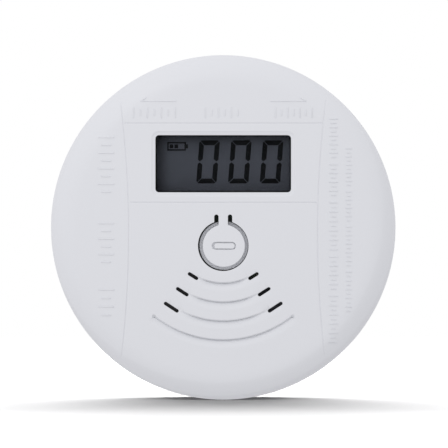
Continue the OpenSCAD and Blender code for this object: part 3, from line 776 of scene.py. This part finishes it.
def mark_rows():
    """Places of the moulded marks, in rows of plain upright strokes that alternate long and
    short with wider gaps between groups. Each row is given by where it starts and ends, the
    height of a stroke, their spacing and their width; the side columns lie along y."""
    rows = [
        (-33.9, 26.3, 10.5, 4.7, 2.3, 0.42), (-33.9, 1.4, -9.8, 4.7, 2.24, 0.42),
        (-33.9, -17.8, -25.2, 4.7, 2.46, 0.42),
    ]
    for start, end in ((31.6, 20.5), (18.4, 9.5), (7.4, -6.2), (-8.3, -17.6), (-19.7, -33.2)):
        rows.append((31.9, start, end, 2.6, 1.3, 0.26))
    for start, end in ((23.0, 12.4), (10.5, 2.2), (0.4, -10.8), (-12.7, -24.1)):
        rows.append((36.3, start, end, 1.9, 1.24, 0.24))
    places = []
    for x, start, end, tall, pitch, width in rows:
        count = int(round(abs(start - end) / pitch)) + 1
        for k, y in enumerate(np.linspace(start, end, count)):
            places.append((x, y, tall * (1.0 if k % 2 == 0 else 0.62), width, 0))
    for start, end in ((-26.0, -13.9), (-5.2, 4.2), (15.1, 25.7)):
        count = int(round((end - start) / 1.9)) + 1
        for k, x in enumerate(np.linspace(start, end, count)):
            places.append((x, 33.4, 3.1 * (1.0 if k % 2 == 0 else 0.62), 0.34, 90))
    return places


def arrows():
    """Strokes of the two turn arrows: a long shaft and a short barb at its outer end."""
    places = []
    for side in (-1, 1):
        places.append((side * 18.8, 36.8, 10.4, 0.38, 0))
        places.append((side * 23.1, 37.3, 1.9, 0.36, -side * 32))
    return places


class ALARM_OT_front_cover(bpy.types.Operator):
    """Makes the moulded front cover with its window, grooves, slots, lines and marks"""

    bl_idname = "alarm.front_cover"
    bl_label = "Front cover"

    def execute(self, context):
        cover = context.scene.alarm_cover
        outer = face_height(cover)

        def inner(p):
            return dome_height(np.hypot(p[:, 0], p[:, 1]), WALL)

        window = round_rect(WINDOW, WINDOW_AT, WINDOW_CORNER)
        opening, weight = button_opening()
        holes = [(window, WINDOW_ROUND, 1.0), (opening, HOLE_ROUND, weight)]
        holes += [(slot, HOLE_ROUND, 1.0) for slot in sound_slots()]
        walls = [edge_rings(loop, outer, inner, r, w) for loop, r, w in holes]
        dimples = []
        for side in (-1, 1):
            a = math.radians(270 + side * DIMPLE_ANGLE)
            r = GROOVE_R + 3 * GROOVE_PITCH + DIMPLE_OUT
            dimples.append(circle((r * math.cos(a), r * math.sin(a)), DIMPLE_R, 16))
        rim = circle((0, 0), FACE_R, RIM_STEPS)
        lip = np.array(WINDOW) + 2 * LIP_W
        lips = [round_rect(lip - 2 * d, WINDOW_AT, WINDOW_CORNER + LIP_W - d) for d in LIP_RINGS]
        loops = [rim] + [rows[0][:, :2] for rows in walls] + dimples
        lines = face_lines() + [np.concatenate([p, p[:1]]) for p in lips]
        parts = [sheet(loops, outer, lines, 1.7)]
        parts += [skin(rows) for rows in walls]
        for loop in dimples:
            top = outer(loop)
            steps = ((0, 0), (-0.1, 0.3), (-0.25, 0.42))
            rows = [lifted(grown(loop, by), top - drop) for by, drop in steps]
            points, faces = skin(rows)
            parts.append((points, faces.tolist() + [list(range(2 * len(loop), 3 * len(loop)))]))
        parts.append(flipped(sheet(
            [circle((0, 0), INSIDE_R, RIM_STEPS)] + [rows[-1][:, :2] for rows in walls], inner, (), 4.0
        )))
        # The side: down the shoulder, the wall and the seam's edge, and up again inside
        turns = np.linspace(math.acos((FACE_R - SHOULDER_C) / SHOULDER_R), 0, 14)
        side = [
            (SHOULDER_C + SHOULDER_R * math.cos(t), SHOULDER_Z + SHOULDER_R * math.sin(t)) for t in turns
        ]
        side += [(RIM_R, z) for z in (22, 17, 13, SEAM_Z + 0.35)]
        side += [(RIM_R - 0.08, SEAM_Z + 0.1), (RIM_R - 0.3, SEAM_Z), (RIM_R - WALL, SEAM_Z)]
        inner_round = SHOULDER_R - WALL
        turns = np.linspace(0, math.acos((INSIDE_R - SHOULDER_C) / inner_round), 10)
        side += [
            (SHOULDER_C + inner_round * math.cos(t), SHOULDER_Z + inner_round * math.sin(t)) for t in turns
        ]
        parts.append(flipped(turned(side, steps=RIM_STEPS)))
        # Screw bosses: place, radius, the bore's radius and the height of the foot
        bosses = [
            ((r * math.cos(math.radians(t)), r * math.sin(math.radians(t))), 3.0, 1.28, 15.0)
            for r, t in CASE_BOSSES
        ]
        bosses += [(at, 2.2, 0.88, 26.6) for at in BOARD_POSTS]
        for at, boss_r, bore_r, z in bosses:
            top = float(dome_height(np.hypot(*at) + boss_r, WALL)) + 0.6
            bottom = z + 12.0 if z < 20 else z + 5.0
            parts.append(turned([
                (0, top), (boss_r, top), (boss_r, z + 0.2), (boss_r - 0.2, z), (bore_r + 0.1, z),
                (bore_r, z + 0.1), (bore_r, min(bottom, top - 1)), (0, min(bottom, top - 1)),
            ], at, 36))
        parts += bars(mark_rows() + arrows(), cover.relief * 1000)
        obj = mesh_object("front_cover_shell", parts)
        place(obj, "alarm", "white_abs", MATERIALS["white_abs"], "front_cover")
        return {"FINISHED"}


# ---- Test button ---------------------------------------------------------------------------


class ALARM_OT_test_button(bpy.types.Operator):
    """Makes the round test button on its neck"""

    bl_idname = "alarm.test_button"
    bl_label = "Test button"

    def execute(self, context):
        def outer(p):
            return dome_height(np.hypot(p[:, 0], p[:, 1]))

        cx, cy = BUTTON_AT
        left = math.degrees(math.acos((-NECK_X - cx) / BUTTON_R))
        right = math.degrees(math.acos((NECK_X - cx) / BUTTON_R))
        ring = arc(BUTTON_AT, BUTTON_R, left, 360 + right, 113)
        seam = straight((NECK_X, SEAM_Y), (-NECK_X, SEAM_Y), 4)
        left_side = straight((-NECK_X, SEAM_Y), ring[0], 8)
        right_side = straight((NECK_X, SEAM_Y), ring[-1], 8)[::-1][:-1]
        loop = np.concatenate([seam, left_side, ring, right_side])
        n = len(loop)
        on_disc = np.zeros(n)
        first = len(seam) + len(left_side)
        on_disc[first : first + len(ring)] = 1
        on_seam = np.abs(loop[:, 1] - SEAM_Y) < 1e-6
        away = np.where(on_disc[:, None] == 1, (loop - BUTTON_AT) / BUTTON_R, 0)
        soft = np.where(on_seam, 0.0, 1.0)
        rows = []
        for t in (0.0, 0.3, 0.65, 1.0):
            a = math.radians(90 * t)
            loop_t = grown(loop, -BUTTON_ROUND * (1 - math.sin(a)) * soft)
            rows.append(lifted(loop_t, outer(loop_t) - BUTTON_ROUND * (1 - math.cos(a)) * soft))
        base = np.where(on_disc == 1, BODY_DEPTH - SKIRT_H, BODY_DEPTH - NECK_THICK)
        ledge = ((0.0, -0.2), (0.03, -0.08), (0.12, 0.0), (0.88, 0.0), (0.95, 0.08), (0.95, 0.8))
        for flare, drop in [(out, LEDGE_DROP + lower) for out, lower in ledge]:
            z = BODY_DEPTH - np.where(on_disc == 1, drop, drop * NECK_THICK / SKIRT_H)
            rows.append(lifted(loop + away * flare, z))
        rows.append(lifted(loop + away * (SKIRT_FLARE - 0.08), base))
        mark = pill(*PILL_MARK, BUTTON_AT, cap=15, side=10)
        wide = 1 + 1.1 * smooth((BUTTON_AT[0] - 2.0 - mark[:, 0]) / 1.4)
        mark_rings = [
            lifted(grown(mark, by), outer(grown(mark, by)) - drop)
            for by, drop in ((0.05, 0), (0, 0.06), (-0.03, 0.8), (-0.3 * wide, 0.8), (-0.36 * wide, 0.08))
        ]
        post_top = BODY_DEPTH - SKIRT_H + 0.2
        heights = rows[-1]

        def under(p):
            near = np.argmin(np.linalg.norm(p[:, None] - heights[None, :, :2], axis=2), 1)
            return heights[near, 2]

        parts = [
            sheet([rows[0][:, :2], mark_rings[0][:, :2]], outer, (), 1.2),
            skin(rows),
            skin(mark_rings),
            sheet([mark_rings[-1][:, :2]], lambda p: outer(p) - 0.08, (), 1.0),
            flipped(sheet([heights[:, :2]], under, (), 6.0)),
            turned([
                (0, post_top), (1.0, post_top), (1.0, POST_BOTTOM + 0.15), (0.85, POST_BOTTOM),
                (0, POST_BOTTOM),
            ], HOLE_AT, 32),
        ]
        obj = mesh_object("test_button_cap", parts)
        obj.data.materials.append(MATERIALS["white_abs"])
        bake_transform(obj)
        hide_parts("test_button")
        return {"FINISHED"}


# ---- Cells ---------------------------------------------------------------------------------


def cell_profile(r, length):
    """Outline of a dry cell from the middle of its flat end to the middle of its nub, as rows of
    distance from the axis, place along it, and whether the printed film covers it: the film is
    shrunk over both ends, and leaves the steel there open."""
    return np.array([
        (0, 0.12, 0), (4.4, 0.12, 0), (4.7, 0.02, 0), (5.4, 0.0, 0), (5.6, 0.12, 0), (5.75, 0.12, 1),
        (r - 0.75, 0.02, 1), (r - 0.35, 0.1, 1), (r - 0.1, 0.35, 1), (r, 0.8, 1),
        (r, length * 0.3, 1), (r, length * 0.36, 1), (r, length * 0.6, 1),
        (r, length - 2.2, 1), (r - 0.1, length - 1.7, 1), (r - 0.4, length - 1.45, 1),
        (r - 0.8, length - 1.35, 1), (r - 1.3, length - 1.4, 1), (r - 1.4, length - 1.6, 0),
        (3.0, length - 1.6, 0), (2.75, length - 1.4, 0), (2.75, length - 0.35, 0),
        (2.6, length - 0.1, 0), (2.3, length, 0), (0, length, 0),
    ])


class ALARM_OT_cells(bpy.types.Operator):
    """Makes the three dry cells: a steel can with its nub, under a shrunk film with a band"""

    bl_idname = "alarm.cells"
    bl_label = "Cells"

    def execute(self, context):
        # The band and the bare steel follow the piece's own map: along the cell, and film or steel
        tree = MATERIALS["cell_jacket"].node_tree
        shade = shader_of(tree)
        green = shade.inputs["Base Color"].links[0].from_socket
        where = add(tree, "ShaderNodeSeparateXYZ", {0: add(tree, "ShaderNodeTexCoord").outputs["UV"]})
        band = add(tree, "ShaderNodeMath", {0: where.outputs["X"], 1: CELL_BAND}, operation="GREATER_THAN")
        film = add(tree, "ShaderNodeMath", {0: where.outputs["Y"], 1: 0.5}, operation="GREATER_THAN")
        printed = add(
            tree, "ShaderNodeMix", {0: band.outputs[0], 6: green, 7: linear("#B4BAB8")}, data_type="RGBA"
        )
        wrapped = add(
            tree, "ShaderNodeMix", {0: film.outputs[0], 6: linear("#C9C8C4"), 7: printed.outputs[2]},
            data_type="RGBA",
        )
        tree.links.new(wrapped.outputs[2], shade.inputs["Base Color"])
        bare = add(tree, "ShaderNodeMath", {0: 1.0, 1: film.outputs[0]}, operation="SUBTRACT")
        tree.links.new(bare.outputs[0], shade.inputs["Metallic"])
        steps = 64
        turn = np.radians(np.arange(steps) * 360 / steps)
        for number, up in ((1, 1), (2, -1), (3, 1)):
            node = f"battery_cell_{number}"
            lo, hi = (np.array(corner) * 1000 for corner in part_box(node))
            r, length = (hi[0] - lo[0]) / 2, hi[2] - lo[2]
            centre, depth = (hi[0] + lo[0]) / 2, -(hi[1] + lo[1]) / 2
            start = lo[2] if up == 1 else hi[2]
            profile = cell_profile(r, length)
            x, z = centre + profile[:, :1] * np.cos(turn), depth + profile[:, :1] * np.sin(turn)
            rows = np.stack([x, np.broadcast_to(start + up * profile[:, 1:2], x.shape), z], -1)
            points, faces = skin(rows)
            uv = np.repeat(np.stack([profile[:, 1] / length, profile[:, 2]], -1), steps, 0)
            obj = mesh_object(f"dry_cell_{number}", [(points, faces)], uv)
            place(obj, "alarm", "cell_jacket", MATERIALS["cell_jacket"], node)
        return {"FINISHED"}


# ---- Everything kept from the CAD ----------------------------------------------------------


class ALARM_OT_finishes(bpy.types.Operator):
    """Makes all finishes, and gives each CAD node the finish of its material slot"""

    bl_idname = "alarm.finishes"
    bl_label = "Finishes"

    def execute(self, context):
        make_materials(context.scene)
        for row in frame["record"]["subparts"]:
            data = frame["nodes"][row["node"]].data
            data.materials.clear()
            data.materials.append(MATERIALS[row["material_slot"]])
        return {"FINISHED"}


class ALARM_OT_display(bpy.types.Operator):
    """Gives the display its grey ground with painted shadow at its left and upper edges, and the film a
    black border of painted shade
    """

    bl_idname = "alarm.display"
    bl_label = "Display"

    def execute(self, context):
        ground = MATERIALS["lcd_ground"]
        frame["nodes"]["lcd_rear_glass"].data.materials[0] = ground
        # Painted shadow: the ground's colour is darkened towards its left and upper edges, where the
        # window's walls shade it
        tree = ground.node_tree
        shade = shader_of(tree)
        plain = shade.inputs["Base Color"].links[0].from_socket
        place_at = add(tree, "ShaderNodeSeparateXYZ", {0: add(tree, "ShaderNodeTexCoord").outputs["Object"]})
        half_w, top = WINDOW[0] / 2000, (WINDOW_AT[1] + WINDOW[1] / 2) / 1000
        left = add(
            tree, "ShaderNodeMapRange",
            {"Value": place_at.outputs["X"], "From Min": -half_w, "From Max": 0.0048 - half_w,
             "To Min": 0.5, "To Max": 1.0}, interpolation_type="SMOOTHSTEP",
        )
        upper = add(
            tree, "ShaderNodeMapRange",
            {"Value": place_at.outputs["Z"], "From Min": top, "From Max": top - 0.0036,
             "To Min": 0.6, "To Max": 1.0}, interpolation_type="SMOOTHSTEP",
        )
        both = add(
            tree, "ShaderNodeMath", {0: left.outputs["Result"], 1: upper.outputs["Result"]},
            operation="MULTIPLY",
        )
        painted_shadow_ground = add(tree, "ShaderNodeVectorMath", {0: plain}, operation="SCALE")
        tree.links.new(both.outputs[0], painted_shadow_ground.inputs["Scale"])
        tree.links.new(painted_shadow_ground.outputs[0], shade.inputs["Base Color"])
        # A black border painted round the film's edge stands in for the shade in the gap between the cover
        # and the display
        tree = MATERIALS["polariser"].node_tree
        shade = shader_of(tree)
        middle = (0, 0, WINDOW_AT[1] / 1000)
        off = add(
            tree, "ShaderNodeVectorMath", {0: add(tree, "ShaderNodeTexCoord").outputs["Object"], 1: middle},
            operation="SUBTRACT",
        )
        size = add(tree, "ShaderNodeVectorMath", {0: off.outputs[0]}, operation="ABSOLUTE")
        over = add(
            tree, "ShaderNodeVectorMath",
            {0: size.outputs[0], 1: (half_w - PAINTED_SHADE_BORDER / 1000, 0, (WINDOW[1] / 2 - PAINTED_SHADE_BORDER) / 1000)},
            operation="SUBTRACT",
        )
        split = add(tree, "ShaderNodeSeparateXYZ", {0: over.outputs[0]})
        edge = add(
            tree, "ShaderNodeMath", {0: split.outputs["X"], 1: split.outputs["Z"]}, operation="MAXIMUM"
        )
        clear = shade.inputs["Alpha"].default_value
        painted_shade_border_alpha = add(
            tree, "ShaderNodeMapRange",
            {"Value": edge.outputs[0], "From Min": -0.0001, "From Max": 0.0001,
             "To Min": clear, "To Max": 1.0},
        )
        tree.links.new(painted_shade_border_alpha.outputs["Result"], shade.inputs["Alpha"])
        return {"FINISHED"}


# ---- Stage ---------------------------------------------------------------------------------


def fade_edge(material, radius):
    """Makes a floor's material clear towards its edge: alpha is 1 less the soft step of the
    distance from the middle, from 0.35 to 0.95 of the radius."""
    tree = material.node_tree
    shade = shader_of(tree)
    where = add(tree, "ShaderNodeTexCoord").outputs["Object"]
    flat = add(tree, "ShaderNodeVectorMath", {0: where, 1: (1, 1, 0)}, operation="MULTIPLY")
    away = add(tree, "ShaderNodeVectorMath", {0: flat.outputs[0]}, operation="LENGTH")
    fade = add(
        tree, "ShaderNodeMapRange",
        {"Value": away.outputs["Value"], "From Min": 0.35 * radius, "From Max": 0.95 * radius,
         "To Min": 1.0, "To Max": 0.0},
        interpolation_type="SMOOTHSTEP",
    )
    tree.links.new(fade.outputs["Result"], shade.inputs["Alpha"])


class ALARM_OT_stage(bpy.types.Operator):
    """Makes the pale floor, the soft lights, the white room and the camera"""

    bl_idname = "alarm.stage"
    bl_label = "Stage"

    def execute(self, context):
        stage = context.scene.alarm_stage
        mesh = bpy.data.meshes.new("pale_floor")
        mesh.from_pydata(
            [(x * FLOOR_R, y * FLOOR_R, FLOOR_Z) for x, y in ((-1, -1), (1, -1), (1, 1), (-1, 1))],
            [], [(0, 1, 2, 3)],
        )
        floor = bpy.data.objects.new("pale_floor", mesh)
        context.scene.collection.objects.link(floor)
        # Plain pale card: matt and even, with a trace of tooth, and lit until it looks white
        paper = surface(
            "pale_card", linear("#6E6E6E"), linear("#6C6C6C"), 0.8, 0.004, (0.85, 0.95),
            specular_ior_level=0.1,
        )
        fade_edge(paper, FLOOR_R)
        mesh.materials.append(paper)
        floor.visible_diffuse = floor.visible_glossy = False
        world = bpy.data.worlds.new("white_room")
        context.scene.world = world
        world.use_nodes = True
        tree = world.node_tree
        tree.nodes.clear()
        path = add(tree, "ShaderNodeLightPath")
        shown = add(tree, "ShaderNodeBackground", {"Color": (1, 1, 1, 1), "Strength": 1.0})
        where = add(tree, "ShaderNodeTexCoord").outputs["Generated"]
        up = add(tree, "ShaderNodeVectorMath", {0: where, 1: (-0.4, -0.3, 0.86)}, operation="DOT_PRODUCT")
        level = add(
            tree, "ShaderNodeMapRange",
            {"Value": up.outputs["Value"], "From Min": -1.0, "From Max": 1.0,
             "To Min": stage.surround - stage.lean, "To Max": stage.surround + stage.lean},
        )
        felt = add(
            tree, "ShaderNodeBackground", {"Color": linear("#FCFCFF"), "Strength": level.outputs["Result"]}
        )
        mix = add(
            tree, "ShaderNodeMixShader",
            {0: path.outputs["Is Camera Ray"], 1: felt.outputs[0], 2: shown.outputs[0]},
        )
        add(tree, "ShaderNodeOutputWorld", {"Surface": mix.outputs[0]})
        floor_only = bpy.data.collections.new("floor_only")
        floor_only.objects.link(floor)
        lamps = (
            ("key_light", (-0.45, -0.75, 0.75), (0.45, 0.45), stage.key, None),
            ("floor_light_back", (0.0, 0.62, 0.5), (2.2, 0.5), stage.floor, floor_only),
            ("floor_light_front", (0.0, -0.8, 0.45), (2.2, 0.5), stage.floor * 0.3, floor_only),
        )
        for name, at, (width, tall), power, lit in lamps:
            data = bpy.data.lights.new(name, "AREA")
            data.shape, data.size, data.size_y, data.energy = "RECTANGLE", width, tall, power
            lamp = bpy.data.objects.new(name, data)
            lamp.location = at
            lamp.rotation_euler = (Vector((0, -0.02, 0)) - Vector(at)).to_track_quat("-Z", "Y").to_euler()
            context.scene.collection.objects.link(lamp)
            if lit is not None:
                lamp.light_linking.receiver_collection = lit
        camera_data = bpy.data.cameras.new("camera")
        camera = bpy.data.objects.new("camera", camera_data)
        context.scene.collection.objects.link(camera)
        camera_data.sensor_width = 36.0
        camera_data.lens = 36.0 * stage.distance / stage.frame_width
        camera_data.clip_start, camera_data.clip_end = 0.01, 20.0
        target = Vector((0.00022, -SHOULDER_Z / 1000, 0.001))
        away = Vector((0, -math.cos(stage.elevation), math.sin(stage.elevation)))
        camera.location = target + away * stage.distance
        camera.rotation_euler = (-away).to_track_quat("-Z", "Y").to_euler()
        context.scene.camera = camera
        context.scene.view_settings.view_transform = "Standard"
        return {"FINISHED"}


class ALARM_PT_panel(bpy.types.Panel):
    """Lists the steps that build the alarm's looks, and their settings"""

    bl_idname = "ALARM_PT_panel"
    bl_label = "Alarm"
    bl_space_type = "VIEW_3D"
    bl_region_type = "UI"
    bl_category = "Alarm"

    def draw(self, context):
        for operator in OPERATORS:
            self.layout.operator(operator.bl_idname)
        for group in ("alarm_cover", "alarm_display", "alarm_stage"):
            settings = getattr(context.scene, group)
            for name in type(settings).__annotations__:
                self.layout.prop(settings, name)


GROUPS = {"alarm_cover": AlarmCover, "alarm_display": AlarmDisplay, "alarm_stage": AlarmStage}
OPERATORS = (
    ALARM_OT_finishes, ALARM_OT_front_cover, ALARM_OT_test_button, ALARM_OT_display, ALARM_OT_cells,
    ALARM_OT_stage,
)


def register():
    for cls in (*GROUPS.values(), *OPERATORS, ALARM_PT_panel):
        bpy.utils.register_class(cls)
    for name, cls in GROUPS.items():
        setattr(bpy.types.Scene, name, bpy.props.PointerProperty(type=cls))


def unregister():
    for name in GROUPS:
        delattr(bpy.types.Scene, name)
    for cls in (ALARM_PT_panel, *OPERATORS[::-1], *list(GROUPS.values())[::-1]):
        bpy.utils.unregister_class(cls)


def main():
    """Builds everything in order."""
    register()
    bpy.ops.alarm.finishes()
    bpy.ops.alarm.front_cover()
    bpy.ops.alarm.test_button()
    bpy.ops.alarm.display()
    bpy.ops.alarm.cells()
    bpy.ops.alarm.stage()


if __name__ == "__main__":
    main()
